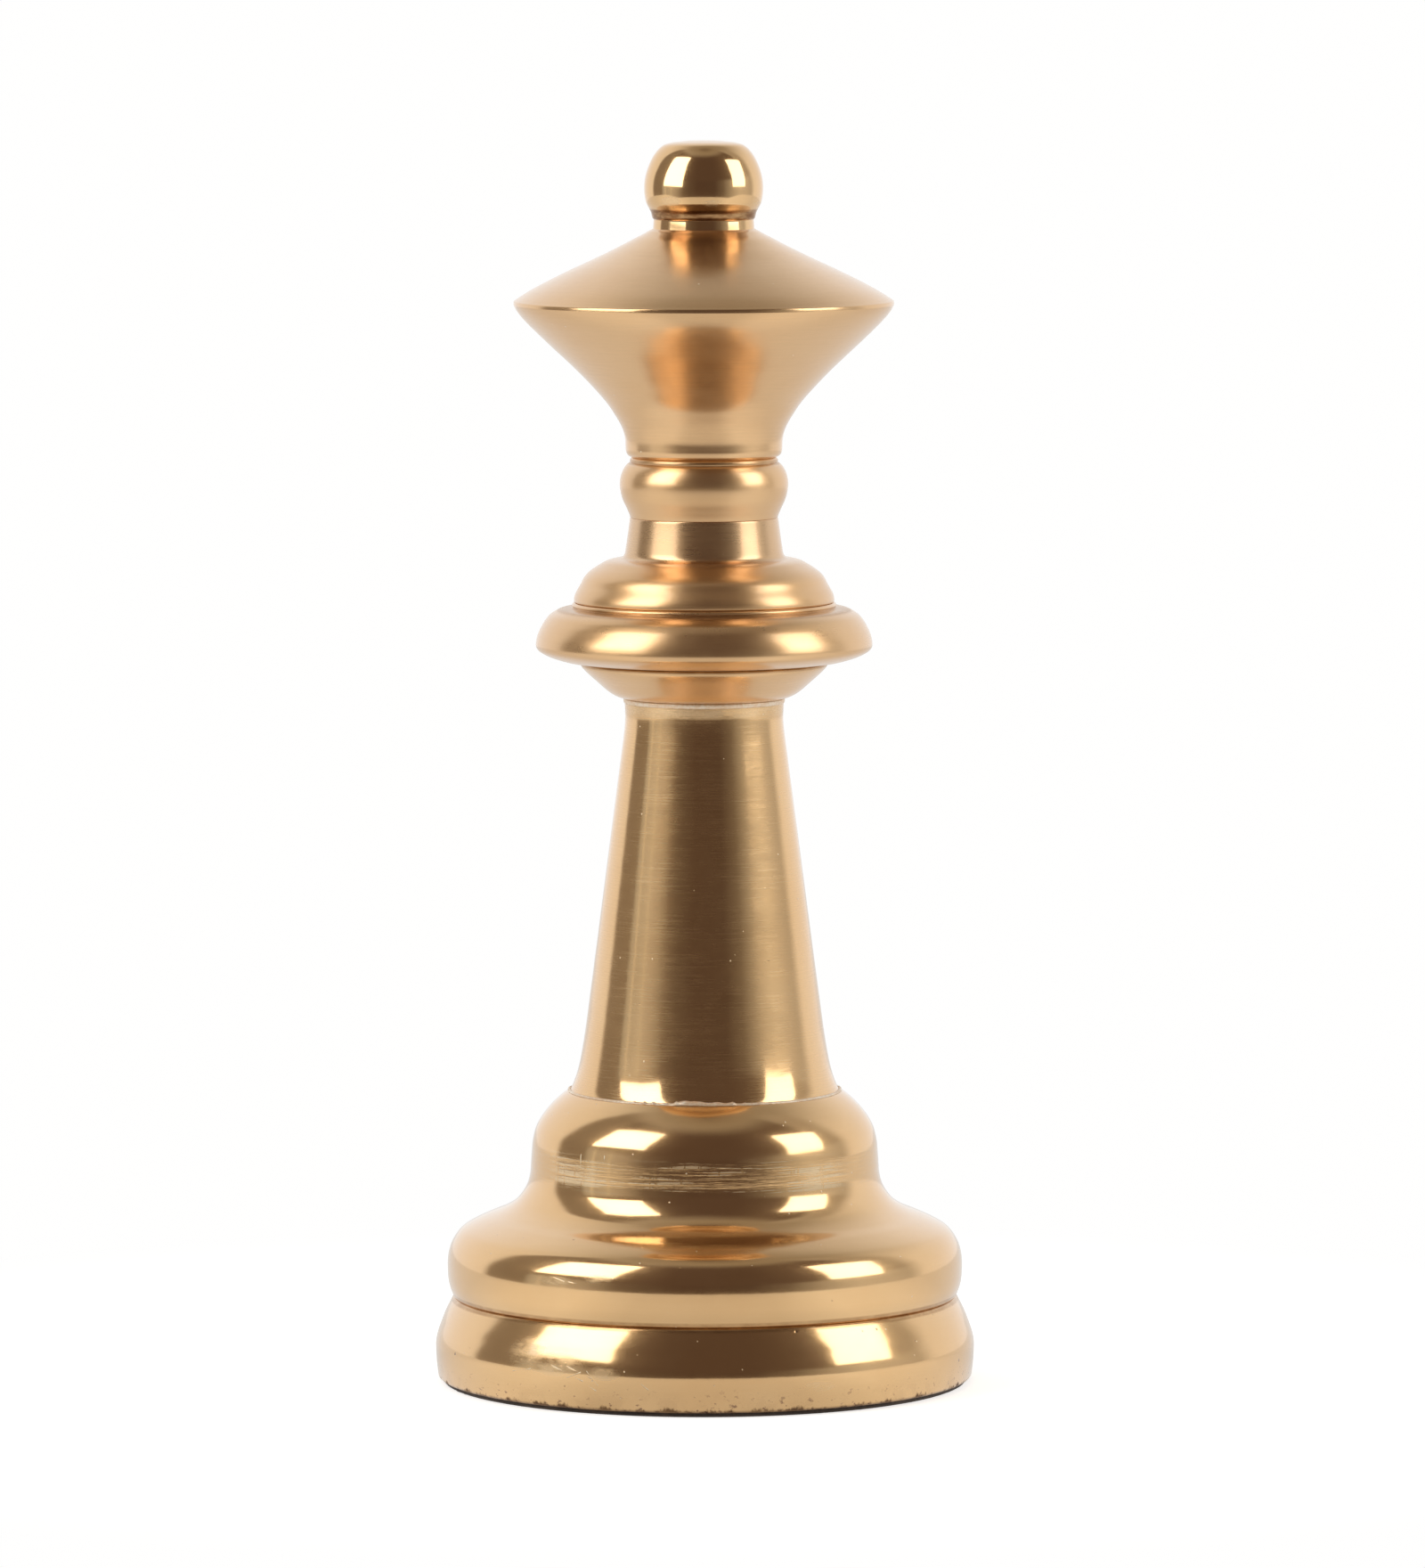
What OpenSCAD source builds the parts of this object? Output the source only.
// Giant queen-style lawn chess piece, turned and hollow, gold lacquered.
// Ten hollow metal sections register in one another with spigots and
// sockets and are clamped by a full-length M12 tie rod; the ball finial
// screws on to the top of the rod and holds the cone cap down.
// Origin: centre of the underside of the base pad.  +Z up.  Millimetres.

/* [Base] */
// Radius of the plinth at its widest point
plinth_r = 126.1; // [122:0.1:130]
// Height of the plinth from its foot to the groove above it
plinth_h = 38.2; // [36:0.1:42]
// Thickness of the rubber base pad
pad_t = 2; // [1.5:0.1:3]
// Radius of the lower roll of the bell
bell_r = 120.5; // [117:0.1:124]
// Radius of the bell at its straight waist
waist_r = 81; // [79:0.1:83]
// Height of the bell from the groove to the foot of the stem
bell_h = 96.1; // [94:0.1:100]

/* [Stem] */
// Radius of the flared foot of the stem
stem_foot_r = 63.2; // [62.6:0.1:63.6]
// Radius of the stem just above the foot flare
stem_low_r = 55.2; // [54:0.1:57]
// Radius of the stem where the straight taper ends
stem_high_r = 37.6; // [37:0.1:39]
// Height of the stem between the bell and the capital
stem_h = 184.1; // [160:0.1:220]

/* [Collars] */
// Radius of the rim of the capital bowl
capital_r = 57.6; // [56:0.1:59]
// Height of the capital
capital_h = 16.8; // [16:0.1:18]
// Radius of the wide lower collar
lower_collar_r = 78.4; // [76:0.1:81]
// Height of the lower collar
lower_collar_h = 27.9; // [27:0.1:29]
// Radius of the upper collar at its foot
upper_collar_r = 60.7; // [60:0.1:61.5]
// Height of the upper collar
upper_collar_h = 20.5; // [20:0.1:22]

/* [Neck] */
// Radius of the neck sleeve above its foot fillet
sleeve_r = 36.6; // [36:0.1:37.2]
// Height of the neck sleeve
sleeve_h = 19.2; // [18:0.1:21]
// Greatest radius of the neck bead
bead_r = 39.25; // [38.5:0.05:40]
// Height of the neck bead with its top lip
bead_h = 28.1; // [27:0.1:30]

/* [Crown] */
// Radius of the crown rim, where bowl and cone cap meet
rim_r = 88.5; // [86:0.1:91]
// Height of the crown bowl
bowl_h = 70.9; // [68:0.1:74]
// Height of the cone cap
cap_h = 35.2; // [34:0.1:38]
// Radius of the short neck under the ball
finial_neck_r = 23.4; // [22.5:0.1:24]
// Greatest radius of the ball finial
ball_r = 27.7; // [27:0.1:28.5]
// Height of the finial
finial_h = 41; // [40:0.1:43]

/* [Inside] */
// Radial gap between a spigot and its socket
register_gap = 0.15; // [0.1:0.05:0.3]
// Radius of the M12 tie rod
rod_r = 6; // [6:6]
// Radial running clearance of the finial thread on the rod
thread_gap = 0.05; // [0.02:0.01:0.08]
// Clearance radius of the plain rod holes
rod_hole_r = 6.6; // [6.3:0.1:7]
// Thickness of the cast-iron ballast ring
ballast_h = 18; // [12:1:20]
// Outer radius of the cast-iron ballast ring
ballast_r = 96; // [80:1:98]
// Depth of the four screws that hold the base cover
cover_screw_l = 14; // [10:1:14]

/* [Quality] */
// Steps in each curved stretch of a turned profile
steps = 6; // [4:1:10]

/* [Hidden] */
$fn = 96;

// Colours shared by several pieces
gold_base = "#c79a4e";
gold_stem = "#b98a45";
gold_collar = "#c08f48";
gold_crown = "#c9a05a";
sealer = "#d9b57a";
screw_steel = "#8d8f92";
rod_steel = "#9a9c9f";
bush_nylon = "#e8e6df";

// Levels of the seams between the sections
z_plinth = pad_t;
z_bell = z_plinth + plinth_h;
z_stem = z_bell + bell_h;
z_capital = z_stem + stem_h;
z_lower = z_capital + capital_h;
z_upper = z_lower + lower_collar_h;
z_sleeve = z_upper + upper_collar_h;
z_bead = z_sleeve + sleeve_h;
z_bowl = z_bead + bead_h;
z_cap = z_bowl + bowl_h;
z_finial = z_cap + cap_h;
z_top = z_finial + finial_h;

// Outer radii at seams that two pieces share
bell_foot_r = bell_r - 3.5;
stem_head_r = stem_high_r - 0.4;
bowl_foot_r = bead_r - 5.9;

// Joints in which a spigot hangs into the socket of the section below,
// from the foot upwards.  Columns:
SOCKET_R = 0;
SOCKET_DEPTH = 1;
SPIGOT_DEPTH = 2;
SPIGOT_BORE_R = 3;
foot_joint   = [46, 5.5, 5.4, 41];          // stem in bell
head_joint   = [24, 9,   8,   20];          // capital in stem
collar_joint = [50, 4,   3.8, 45];          // both seams of the lower collar
sleeve_joint = [28, 4.2, 4,   24];          // sleeve in upper collar
bead_joint   = [26, 4,   3.8, 22];          // bead in sleeve
bowl_joint   = [24, 4,   3.9, rod_hole_r];  // crown bowl in bead
rim_joint    = [82, 3.2, 3,   77.5];        // cone cap in crown bowl

// Base joint: the plinth's spigot stands up inside the bell
base_socket_r = 104;
base_socket_h = 6.3;
base_spigot_h = 5;
base_spigot_bore_r = base_socket_r - 5;

// Plinth deck and base cover
deck_t = 6;
z_deck = z_bell - deck_t;                   // underside of the deck
cover_r = 115;
cover_t = 3;
z_cover_top = z_plinth + cover_t;

// M4 cover screws
cover_screw_circle = 105;
cover_screw_r = 2;
cover_head_r = 4;
cover_head_h = 2.02;

// M6 ballast screws and the ring they hold
ballast_screw_circle = 70;
ballast_screw_r = 3;
ballast_bore_r = 40;
ballast_chamfer = 1.5;

// M12 clamping hardware; levels run down from the deck
plate_r = 60;
plate_t = 5;
washer_r = 12;
washer_t = 2.5;
washer_hole_r = rod_r + 0.5;                // also the clamp plate's hole
spring_washer_r = 10.5;
nut_h = 10.8;
nut_flats = 19;                             // distance across the flats
z_plate = z_deck - plate_t;
z_washer = z_plate - washer_t;
z_spring = z_washer - washer_t;
z_nut = z_spring - nut_h;
z_floor = z_bowl + 6;                       // floor inside the crown bowl

// Top of the rod and the captive washer inside the finial
rod_engage = 16;                            // thread of the rod in the finial
seat_t = 2;                                 // washer thickness
seat_body_r = 14.2;
seat_flange_r = 15;
seat_gap = 0.2;                             // radial gap to the recess
z_seat = z_finial + seat_t;
z_rod_top = z_seat + rod_engage;

// Rod guides
capital_floor_h = 5.6;                      // floor inside, above its foot
guide_gap = 0.15;                           // radial gap to the bore
guide_lip_h = 2;

// ------------------------------------------------------------- helpers

// One fair curve between two stations [radius, height, direction]; the
// direction is in degrees, 0 outwards, 90 straight up, 180 inwards.
// The end point is left out, as the next curve starts there.
function curve(start, end, count) =
    let (start_point = [start[0], start[1]],
         end_point = [end[0], end[1]],
         turn = abs(end[2] - start[2]),
         // Handle length that keeps a cubic close to a circular arc
         handle = norm(end_point - start_point)
             * (turn < 0.01 ? 1 / 3 : (2 / 3) * tan(turn / 4) / sin(turn / 2)),
         start_handle = start_point + handle * [cos(start[2]), sin(start[2])],
         end_handle = end_point - handle * [cos(end[2]), sin(end[2])])
    [for (i = [0:count - 1]) let (done = i / count, rest = 1 - done)
        rest * rest * rest * start_point
        + 3 * rest * rest * done * start_handle
        + 3 * rest * done * done * end_handle
        + done * done * done * end_point];

// A whole turned profile through its stations, from the bottom upwards
function fair(stations) =
    let (last = len(stations) - 1)
    concat([for (i = [0:last - 1]) each curve(stations[i], stations[i + 1], steps)],
           [[stations[last][0], stations[last][1]]]);

// Socket sunk below a seam, as the first points of a bore
function socket(joint, seam) =
    [[joint[SOCKET_R], seam],
     [joint[SOCKET_R], seam - joint[SOCKET_DEPTH]]];

// Spigot hanging below a seam, as the last points of a bore
function spigot(joint, seam) =
    let (outer_r = joint[SOCKET_R] - register_gap,
         tip = seam - joint[SPIGOT_DEPTH])
    [[joint[SPIGOT_BORE_R], tip], [outer_r, tip], [outer_r, seam]];

// A turned section.  outer: stations [radius, height, direction] upwards;
// bore: straight-line points [radius, height] downwards.
module turned(outer, bore) {
    rotate_extrude() polygon(concat(fair(outer), bore));
}

// Copies spaced evenly on a circle
module around(count, radius, start = 0) {
    for (i = [0:count - 1])
        rotate([0, 0, start + i * 360 / count]) translate([radius, 0, 0]) children();
}

module at_cover_screws() {
    around(4, cover_screw_circle, 45) children();
}

module at_ballast_screws() {
    around(3, ballast_screw_circle) children();
}

// Cutter for a hole through a thickness, overrunning both faces
module through_hole(thickness, radius, overrun = 1) {
    translate([0, 0, -overrun]) cylinder(h = thickness + 2 * overrun, r = radius);
}

// ---------------------------------------------------------------- base

// Black rubber sheet glued under the plinth and its cover
module base_pad() {
    pad_r = plinth_r - 3.9;
    chamfer = 0.6;
    color("#1a1815") rotate_extrude()
        polygon([[0, 0], [pad_r - chamfer, 0], [pad_r, chamfer], [pad_r, pad_t], [0, pad_t]]);
}

// Pressed steel disc closing the underside, flush with the plinth's foot
module base_cover() {
    hole_r = 2.25;
    sink_h = 2.2;
    color("#2b2a28") translate([0, 0, z_plinth]) difference() {
        cylinder(h = cover_t, r = cover_r);
        at_cover_screws() {
            through_hole(cover_t, hole_r);
            translate([0, 0, -0.01]) cylinder(h = sink_h, r1 = 4.4, r2 = 2.2);
        }
    }
}

// Four countersunk M4 screws with hexagon sockets
module cover_screws() {
    head_inset = 0.1;
    shank_z = 1.9;                          // shank starts inside the head
    socket_h = 1.5;
    socket_r = 1.44;
    color(screw_steel) at_cover_screws() translate([0, 0, z_plinth + head_inset]) difference() {
        union() {
            cylinder(h = cover_head_h, r1 = cover_head_r, r2 = cover_screw_r);
            translate([0, 0, shank_z]) cylinder(h = cover_screw_l - shank_z, r = cover_screw_r);
        }
        translate([0, 0, -0.1]) cylinder(h = socket_h, r = socket_r, $fn = 6);
    }
}

// Plinth: a shallow inverted tray with a deck and four screw bosses
module plinth() {
    cavity_r = plinth_r - 13;
    cover_recess_r = cover_r + 0.3;
    boss_r = 6.5;
    boss_overlap = 1;                       // bosses run up into the deck
    tapped_r = cover_screw_r + 0.05;
    deck_hole_r = ballast_screw_r + 0.3;
    spigot_r = base_socket_r - register_gap;
    outer = [
        [plinth_r - 2.7, z_plinth, 15],
        [plinth_r - 1.0, z_plinth + 1.7, 83],
        [plinth_r, z_plinth + 0.4 * plinth_h, 90],
        [plinth_r - 3.2, z_plinth + 0.717 * plinth_h, 110],
        [plinth_r - 7.6, z_bell - 1.6, 119],
        [bell_foot_r, z_bell, 165]];
    bore = [
        [spigot_r, z_bell],
        [spigot_r, z_bell + base_spigot_h],
        [base_spigot_bore_r, z_bell + base_spigot_h],
        [base_spigot_bore_r, z_bell],
        [rod_hole_r, z_bell],
        [rod_hole_r, z_deck],
        [cavity_r, z_deck],
        [cavity_r, z_cover_top],
        [cover_recess_r, z_cover_top],
        [cover_recess_r, z_plinth]];
    color(gold_base) difference() {
        union() {
            turned(outer, bore);
            at_cover_screws() translate([0, 0, z_cover_top])
                cylinder(h = plinth_h - cover_t - deck_t + boss_overlap, r = boss_r);
        }
        at_cover_screws() translate([0, 0, z_cover_top - 1])
            cylinder(h = cover_screw_l + 3, r = tapped_r);
        at_ballast_screws() translate([0, 0, z_deck]) through_hole(deck_t, deck_hole_r);
    }
}

// Cast-iron ring that keeps the tall piece standing on grass
module ballast_ring() {
    ring_top = z_bell + ballast_h;
    tapped_r = ballast_screw_r + 0.05;
    color("#4a4744") difference() {
        rotate_extrude() polygon([
            [ballast_bore_r, z_bell],
            [ballast_r - ballast_chamfer, z_bell],
            [ballast_r, z_bell + ballast_chamfer],
            [ballast_r, ring_top - ballast_chamfer],
            [ballast_r - ballast_chamfer, ring_top],
            [ballast_bore_r + ballast_chamfer, ring_top],
            [ballast_bore_r, ring_top - ballast_chamfer]]);
        at_ballast_screws() translate([0, 0, z_bell - 1]) cylinder(h = 12, r = tapped_r);
    }
}

// Three M6 hexagon screws up through the deck into the ballast
module ballast_screws() {
    head_h = 4;
    head_corner_r = 5.77;
    shank_l = 15.5;
    color(screw_steel) at_ballast_screws() translate([0, 0, z_deck]) {
        translate([0, 0, -head_h]) cylinder(h = head_h, r = head_corner_r, $fn = 6);
        cylinder(h = shank_l, r = ballast_screw_r);
    }
}

// Bell: roll, ogee shoulder, waist and dome in one turned shell
module base_bell() {
    outer = [
        [bell_foot_r, z_bell, 15],
        [bell_r - 1.9, z_bell + 2.2, 66],
        [bell_r, z_bell + 0.15 * bell_h, 90],
        [bell_r - 2.7, z_bell + 0.271 * bell_h, 120],
        [bell_r - 7.9, z_bell + 0.332 * bell_h, 149],
        [bell_r - 17.3, z_bell + 0.380 * bell_h, 156.3],
        [bell_r - 25.3, z_bell + 0.415 * bell_h, 152.5],
        [waist_r + 5.9, z_bell + 0.478 * bell_h, 128.5],
        [waist_r + 1.2, z_bell + 0.570 * bell_h, 103],
        [waist_r + 0.45, z_bell + 0.622 * bell_h, 92.6],
        [waist_r - 0.25, z_bell + 0.735 * bell_h, 94.2],
        [waist_r - 1.45, z_bell + 0.800 * bell_h, 104.5],
        [waist_r - 5.8, z_stem - 10.8, 126],
        [stem_foot_r + 2, z_stem - 0.8, 143],
        [stem_foot_r + 0.8, z_stem, 150]];
    bore = [
        each socket(foot_joint, z_stem),
        [waist_r - 19, z_stem - foot_joint[SOCKET_DEPTH]],
        [waist_r - 11, z_stem - 12],
        [waist_r - 6, z_stem - 23],
        [waist_r - 4.7, z_stem - 32],
        [waist_r - 3.5, z_bell + 0.57 * bell_h],
        [waist_r + 1, z_bell + 0.475 * bell_h],
        [waist_r + 9, z_bell + 0.388 * bell_h],
        [bell_r - 20.5, z_bell + 0.336 * bell_h],
        [bell_r - 12.5, z_bell + 0.284 * bell_h],
        [bell_r - 7, z_bell + 0.222 * bell_h],
        [bell_r - 5.2, z_bell + 0.16 * bell_h],
        [bell_r - 6.5, z_bell + 9],
        [base_socket_r, z_bell + base_socket_h],
        [base_socket_r, z_bell]];
    color(gold_base) turned(outer, bore);
}

// Thin fillet of cured sealer where the stem stands on the bell
module stem_foot_seal() {
    color(sealer) rotate_extrude() polygon([
        [stem_foot_r + 0.05, z_stem],
        [stem_foot_r + 0.75, z_stem],
        [stem_foot_r + 0.6, z_stem + 0.6],
        [stem_foot_r - 0.1, z_stem + 1.1],
        [stem_foot_r - 0.3, z_stem + 1.0]]);
}

// ---------------------------------------------------------------- stem

// Hollow tapered stem with a flared foot, a spigot below and a socket above
module stem() {
    outer = [
        [stem_foot_r, z_stem, 125],
        [stem_low_r + 5.3, z_stem + 5.8, 110],
        [stem_low_r + 2.7, z_stem + 15.8, 101],
        [stem_low_r, z_stem + 32.4, 97.6],
        [stem_high_r, z_capital - 17.4, 97.4],
        [stem_high_r - 0.7, z_capital - 9.4, 91.5],
        [stem_head_r, z_capital, 89]];
    bore = [
        each socket(head_joint, z_capital),
        [stem_high_r - 4.8, z_capital - 11],
        [stem_high_r - 4.3, z_capital - 17.4],
        [stem_low_r - 4.3, z_stem + 32.4],
        [stem_low_r - 1.8, z_stem + 15.8],
        [stem_low_r - 0.8, z_stem + 10.5],
        [foot_joint[SPIGOT_BORE_R], z_stem + 5.5],
        each spigot(foot_joint, z_stem)];
    color(gold_stem) turned(outer, bore);
}

// Thin ring of cured sealer under the capital
module stem_top_seal() {
    color(sealer) rotate_extrude() polygon([
        [stem_head_r + 0.05, z_capital - 2.4],
        [stem_head_r + 0.3, z_capital - 1.8],
        [stem_head_r + 0.5, z_capital],
        [stem_head_r + 0.05, z_capital]]);
}

// ------------------------------------------------------------- collars

// Small bowl that carries the collars
module capital() {
    z_inside = z_capital + capital_floor_h;
    outer = [
        [stem_high_r + 0.1, z_capital, 18],
        [capital_r - 15.4, z_capital + 1.7, 28],
        [capital_r - 7.5, z_capital + 0.475 * capital_h, 41],
        [capital_r - 1.9, z_capital + 0.78 * capital_h, 46],
        [capital_r, z_lower - 1.0, 78],
        [capital_r - 0.6, z_lower, 140]];
    bore = [
        each socket(collar_joint, z_lower),
        [44, z_lower - collar_joint[SOCKET_DEPTH]],
        [38, z_capital + 7.1],
        [24.5, z_inside],
        [head_joint[SPIGOT_BORE_R], z_inside],
        each spigot(head_joint, z_capital)];
    color(gold_collar) turned(outer, bore);
}

// Wide collar with a fine seat ring on top
module lower_collar() {
    outer = [
        [capital_r - 1.2, z_lower, 8],
        [lower_collar_r - 10.8, z_lower + 1.5, 16],
        [lower_collar_r - 3.5, z_lower + 4.2, 28],
        [lower_collar_r - 0.2, z_lower + 7.2, 72],
        [lower_collar_r - 0.3, z_lower + 10.4, 98],
        [lower_collar_r - 3.2, z_lower + 17.7, 119],
        [lower_collar_r - 5.6, z_lower + 21.1, 128],
        [lower_collar_r - 10.1, z_lower + 24.3, 150],
        [upper_collar_r + 1.2, z_upper - 2.3, 166],
        [upper_collar_r + 0.7, z_upper - 2.1, 100],
        [upper_collar_r + 0.9, z_upper - 1.2, 90],
        [upper_collar_r - 0.2, z_upper, 160]];
    bore = [
        each socket(collar_joint, z_upper),
        [lower_collar_r - 22.4, z_upper - 5.6],
        [lower_collar_r - 10.4, z_upper - 11.1],
        [lower_collar_r - 6.4, z_lower + 9.8],
        [lower_collar_r - 12.4, z_lower + 5.6],
        [46, z_lower + 4.5],
        each spigot(collar_joint, z_lower)];
    color(gold_collar) turned(outer, bore);
}

// Quarter-round collar
module upper_collar() {
    outer = [
        [upper_collar_r - 0.8, z_upper, 10],
        [upper_collar_r, z_upper + 0.9, 88],
        [upper_collar_r - 3.9, z_upper + 0.49 * upper_collar_h, 113],
        [upper_collar_r - 13.4, z_upper + 0.896 * upper_collar_h, 149],
        [40.2, z_sleeve, 171]];
    bore = [
        each socket(sleeve_joint, z_sleeve),
        [38, z_sleeve - 5],
        [46, z_sleeve - 7.1],
        [upper_collar_r - 7.7, z_sleeve - 12.6],
        [upper_collar_r - 5.6, z_upper + 3.4],
        [45.5, z_upper + 3.2],
        each spigot(collar_joint, z_upper)];
    color(gold_collar) turned(outer, bore);
}

// ---------------------------------------------------------------- neck

// Polished sleeve with a small cove at its foot
module neck_sleeve() {
    outer = [
        [sleeve_r + 3, z_sleeve, 160],
        [sleeve_r + 0.9, z_sleeve + 1.2, 128],
        [sleeve_r, z_sleeve + 4, 98.5],
        [sleeve_r - 2, z_bead - 0.7, 97],
        [sleeve_r - 2.5, z_bead, 150]];
    bore = [
        each socket(bead_joint, z_bead),
        [sleeve_r - 6.6, z_bead - 5.3],
        [sleeve_r - 5.1, z_sleeve + 5.4],
        [sleeve_joint[SPIGOT_BORE_R], z_sleeve + 3.9],
        each spigot(sleeve_joint, z_sleeve)];
    color(gold_stem) turned(outer, bore);
}

// Rounded bead with a fine lip under the crown bowl
module neck_bead() {
    outer = [
        [sleeve_r - 2.2, z_bead, 80],
        [bead_r - 3.3, z_bead + 4.1, 67],
        [bead_r - 0.95, z_bead + 9.6, 75],
        [bead_r, z_bead + 15.5, 90],
        [bead_r - 0.85, z_bead + 20.4, 109],
        [bead_r - 2.85, z_bead + 24.1, 128],
        [bead_r - 4.5, z_bowl - 2.6, 142],
        [bead_r - 4.9, z_bowl - 2.3, 60],
        [bead_r - 4.9, z_bowl - 1.1, 104],
        [bowl_foot_r, z_bowl, 150]];
    bore = [
        each socket(bowl_joint, z_bowl),
        [29, z_bowl - 5.9],
        [bead_r - 5.3, z_bead + 17.2],
        [bead_r - 5.4, z_bead + 11.2],
        [31, z_bead + 4.4],
        [bead_joint[SPIGOT_BORE_R], z_bead + 3.2],
        each spigot(bead_joint, z_bead)];
    color(gold_collar) turned(outer, bore);
}

// --------------------------------------------------------------- crown

// Flaring bowl with a floor that takes the head nut
module crown_bowl() {
    outer = [
        [bowl_foot_r, z_bowl, 10],
        [bead_r - 3.4, z_bowl + 1.5, 62],
        [bead_r - 2.8, z_bowl + 3.8, 89],
        [bead_r - 2.7, z_bowl + 6.6, 88],
        [bead_r - 1.35, z_bowl + 0.185 * bowl_h, 69],
        [rim_r - 45.7, z_bowl + 0.307 * bowl_h, 58],
        [rim_r - 37.7, z_bowl + 0.447 * bowl_h, 47.5],
        [rim_r - 24.5, z_bowl + 0.635 * bowl_h, 43],
        [rim_r - 10.4, z_bowl + 0.822 * bowl_h, 44],
        [rim_r - 3.0, z_bowl + 0.931 * bowl_h, 51],
        [rim_r - 0.5, z_cap - 1.1, 64],
        [rim_r - 0.1, z_cap, 82]];
    bore = [
        each socket(rim_joint, z_cap),
        [rim_r - 8.7, z_cap - 4.9],
        [rim_r - 15.6, z_cap - 12.3],
        [rim_r - 29.6, z_cap - 25.8],
        [rim_r - 42.6, z_cap - 38.8],
        [rim_r - 50.5, z_cap - 49.3],
        [33, z_bowl + 11.6],
        [31.5, z_floor],
        [rod_hole_r, z_floor],
        each spigot(bowl_joint, z_bowl)];
    color(gold_crown) turned(outer, bore);
}

// Low cone with a narrow land at the rim and a boss for the finial
module crown_cap() {
    outer = [
        [rim_r, z_cap, 90],
        [rim_r - 0.1, z_cap + 1.3, 100],
        [rim_r - 1.1, z_cap + 2.2, 145],
        [rim_r - 9.4, z_cap + 7.4, 151.0],
        [rim_r - 22.7, z_cap + 14.2, 153.8],
        [finial_neck_r + 21.9, z_finial - 11.3, 153.8],
        [finial_neck_r + 9.0, z_finial - 4.7, 151],
        [finial_neck_r + 2.6, z_finial - 1.3, 147],
        [finial_neck_r + 0.3, z_finial, 143]];
    bore = [
        [rod_hole_r, z_finial],
        [rod_hole_r, z_finial - 10],
        [30, z_finial - 10.5],
        [45, z_finial - 16.3],
        [65.8, z_finial - 26.3],
        [rim_joint[SPIGOT_BORE_R], z_finial - 32.5],
        each spigot(rim_joint, z_cap)];
    color(gold_crown) turned(outer, bore);
}

// Captive nylon washer: its flange is trapped in the finial's recess
module finial_washer() {
    hole_r = rod_r + 0.3;
    z_flange = z_finial + 0.75;
    color("#e6e0d2") rotate_extrude() polygon([
        [hole_r, z_finial],
        [seat_body_r, z_finial],
        [seat_body_r, z_flange],
        [seat_flange_r, z_flange],
        [seat_flange_r, z_seat],
        [hole_r, z_seat]]);
}

// Solid ball finial with a blind M12 hole and a recess for its washer
module finial() {
    thread_r = rod_r + thread_gap;
    recess_r = seat_flange_r + seat_gap;
    mouth_r = seat_body_r + seat_gap;
    z_recess_top = z_seat + 0.05;
    z_lip = z_finial + 0.65;
    outer = [
        [finial_neck_r + 0.2, z_finial, 94],
        [finial_neck_r - 0.1, z_finial + 4.3, 95],
        [finial_neck_r + 0.15, z_finial + 4.6, 52],
        [ball_r - 2.9, z_finial + 8.3, 59],
        [ball_r - 0.6, z_finial + 13.0, 78],
        [ball_r, z_finial + 18.8, 90],
        [ball_r - 1.75, z_finial + 28.4, 111],
        [ball_r - 5.3, z_finial + 35.2, 127],
        [ball_r - 8.6, z_finial + 38.5, 145],
        [ball_r - 12.0, z_top - 1.2, 166],
        [ball_r - 17.7, z_top - 0.4, 173],
        [0, z_top, 180]];
    bore = [
        [0, z_rod_top + 5],
        [thread_r, z_rod_top + 2],
        [thread_r, z_recess_top],
        [recess_r, z_recess_top],
        [recess_r, z_lip],
        [mouth_r, z_lip],
        [mouth_r, z_finial]];
    color("#d1a75c") turned(outer, bore);
}

// ------------------------------------------------------ rod and clamps

// M12 steel rod through the whole piece
module tie_rod() {
    z_rod_foot = z_nut - 2.5;
    chamfer = 1;
    color(rod_steel) rotate_extrude() polygon([
        [0, z_rod_foot],
        [rod_r - chamfer, z_rod_foot],
        [rod_r, z_rod_foot + chamfer],
        [rod_r, z_rod_top - chamfer],
        [rod_r - chamfer, z_rod_top],
        [0, z_rod_top]]);
}

// Steel disc that spreads the rod's pull over the plinth's deck
module clamp_plate() {
    chamfer = 1;
    color("#85878a") rotate_extrude() polygon([
        [washer_hole_r, z_plate],
        [plate_r - chamfer, z_plate],
        [plate_r, z_plate + chamfer],
        [plate_r, z_deck],
        [washer_hole_r, z_deck]]);
}

// Plain M12 washer
module washer(base_z) {
    translate([0, 0, base_z]) difference() {
        cylinder(h = washer_t, r = washer_r);
        through_hole(washer_t, washer_hole_r);
    }
}

// M12 hexagon nut with chamfered corners
module nut(base_z) {
    corner_r = nut_flats / 2 / cos(30);
    face_r = nut_flats / 2 - 0.2;
    clear_r = corner_r + 0.1;               // just outside the corners
    chamfer_h = 0.85;
    translate([0, 0, base_z]) difference() {
        intersection() {
            cylinder(h = nut_h, r = corner_r, $fn = 6);
            rotate_extrude() polygon([
                [0, 0], [face_r, 0], [clear_r, chamfer_h],
                [clear_r, nut_h - chamfer_h], [face_r, nut_h], [0, nut_h]]);
        }
        through_hole(nut_h, rod_r + 0.05);
    }
}

// Two alike: one under the clamp plate, one on the floor of the crown bowl
module rod_washers() {
    color("#a3a5a8") {
        washer(z_washer);
        washer(z_floor);
    }
}

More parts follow.
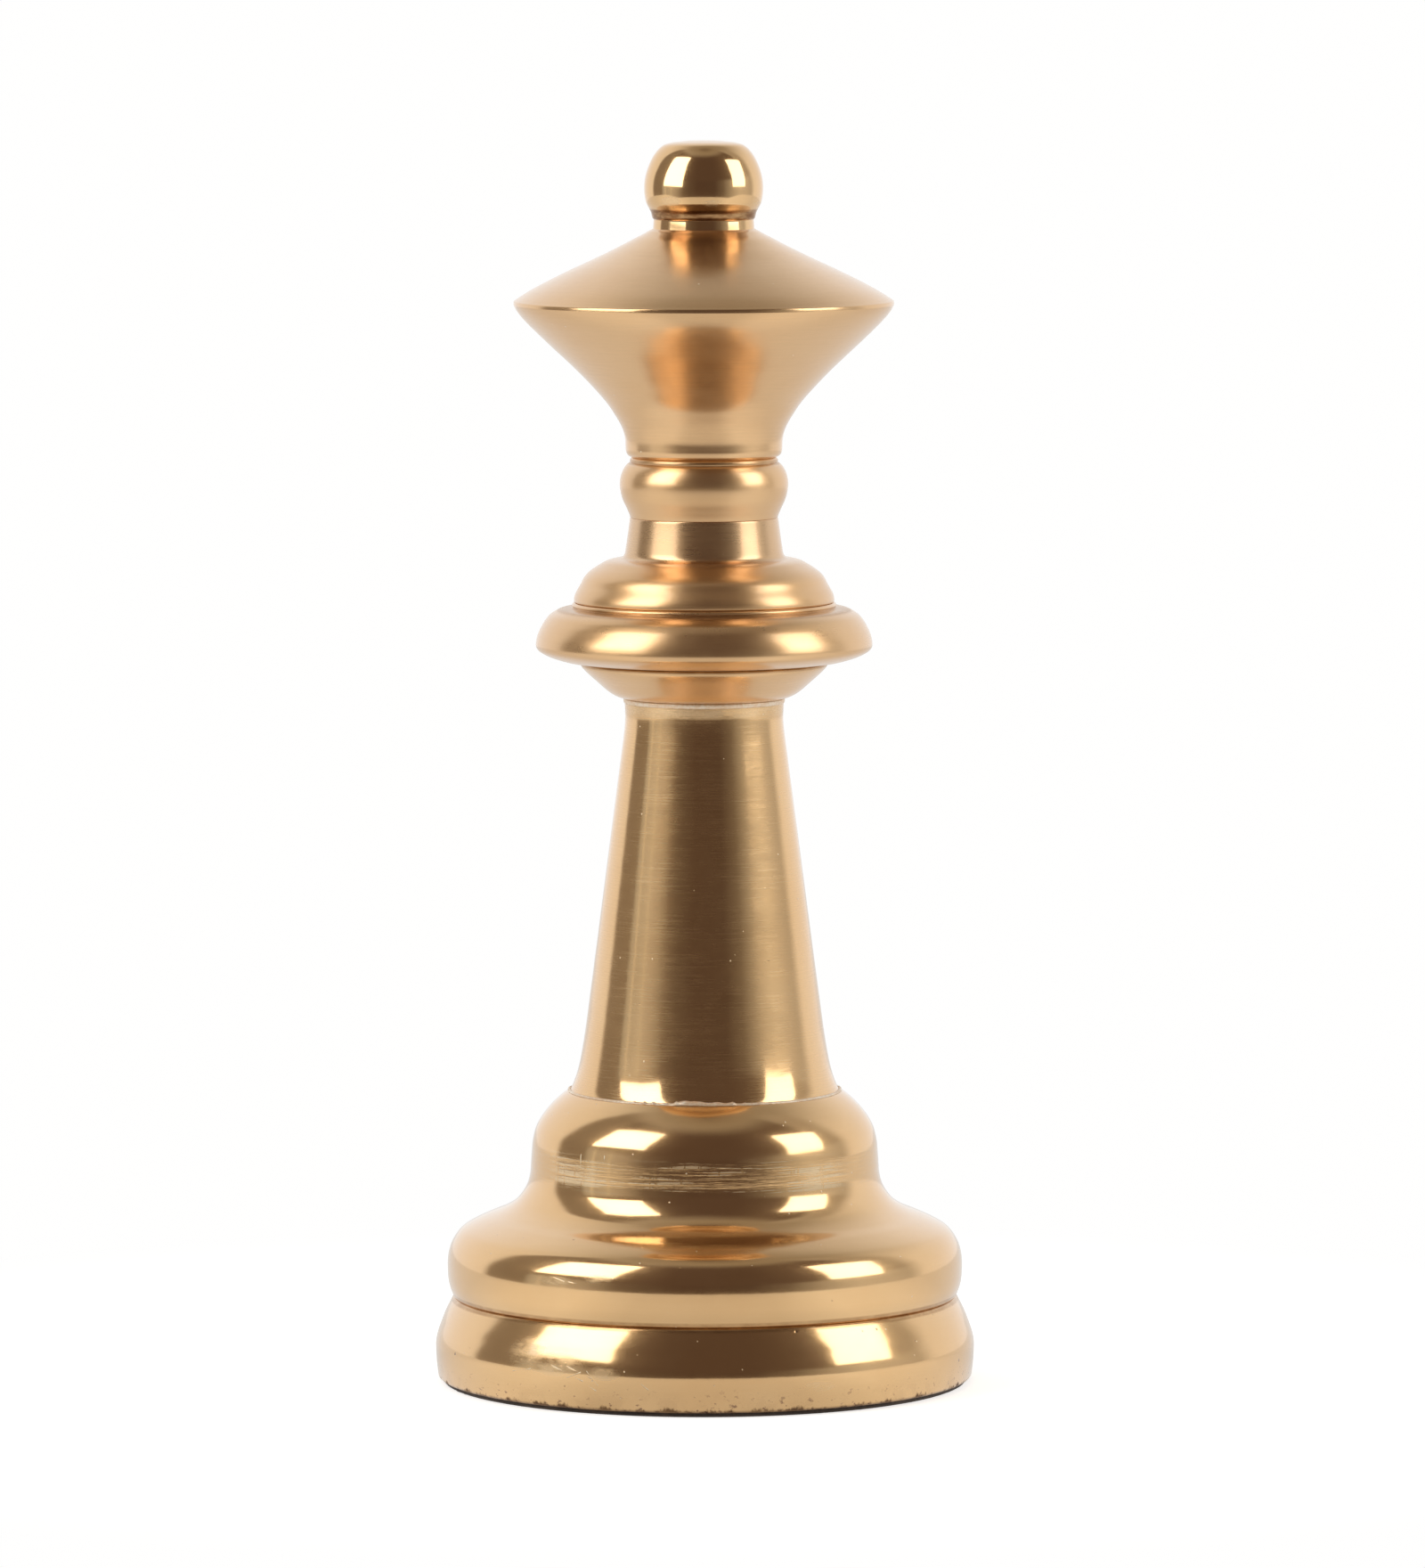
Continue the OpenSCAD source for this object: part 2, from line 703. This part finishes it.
// Split spring washer, shown flattened
module spring_washer() {
    split_w = 1.6;
    split_angle = 20;
    color("#6f7174") translate([0, 0, z_spring]) difference() {
        cylinder(h = washer_t, r = spring_washer_r);
        through_hole(washer_t, rod_r + 0.2);
        rotate([0, 0, split_angle]) translate([3, -split_w / 2, -1])
            cube([10, split_w, washer_t + 2]);
    }
}

// Two alike: one below the spring washer, one clamping the crown bowl
module rod_nuts() {
    color(rod_steel) {
        nut(z_nut);
        nut(z_floor + washer_t);
    }
}

// Spoked nylon bush that keeps the rod central; lip_z is above its base
module rod_bush(base_z, radius, height, lip_r, lip_z) {
    rim_t = 4;
    hub_r = 9.5;
    spoke_w = 3;
    spoke_start = 7;                        // inside the hub
    overrun = 5;                            // enough to clear the lip
    translate([0, 0, base_z]) difference() {
        union() {
            difference() {
                union() {
                    cylinder(h = height, r = radius);
                    translate([0, 0, lip_z]) cylinder(h = guide_lip_h, r = lip_r);
                }
                through_hole(height, radius - rim_t, overrun);
            }
            cylinder(h = height, r = hub_r);
            for (angle = [0, 120, 240])
                rotate([0, 0, angle]) translate([spoke_start, -spoke_w / 2, 0])
                    cube([radius - rim_t - spoke_start + 1, spoke_w, height]);
        }
        through_hole(height, rod_r + 0.1, overrun);
    }
}

// Bush in the stem's spigot, its lip below the spigot
module rod_guide_lower() {
    color(bush_nylon) rod_bush(
        base_z = z_stem - foot_joint[SPIGOT_DEPTH],
        radius = foot_joint[SPIGOT_BORE_R] - guide_gap,
        height = 10, lip_r = 45, lip_z = -guide_lip_h);
}

// Bush in the capital's spigot, its lip on the capital's floor
module rod_guide_upper() {
    height = head_joint[SPIGOT_DEPTH] + capital_floor_h;
    color(bush_nylon) rod_bush(
        base_z = z_capital - head_joint[SPIGOT_DEPTH],
        radius = head_joint[SPIGOT_BORE_R] - guide_gap,
        height = height, lip_r = 24, lip_z = height);
}

base_pad();
base_cover();
cover_screws();
plinth();
ballast_ring();
ballast_screws();
base_bell();
stem_foot_seal();
stem();
stem_top_seal();
capital();
lower_collar();
upper_collar();
neck_sleeve();
neck_bead();
crown_bowl();
crown_cap();
finial_washer();
finial();
tie_rod();
clamp_plate();
rod_washers();
spring_washer();
rod_nuts();
rod_guide_lower();
rod_guide_upper();
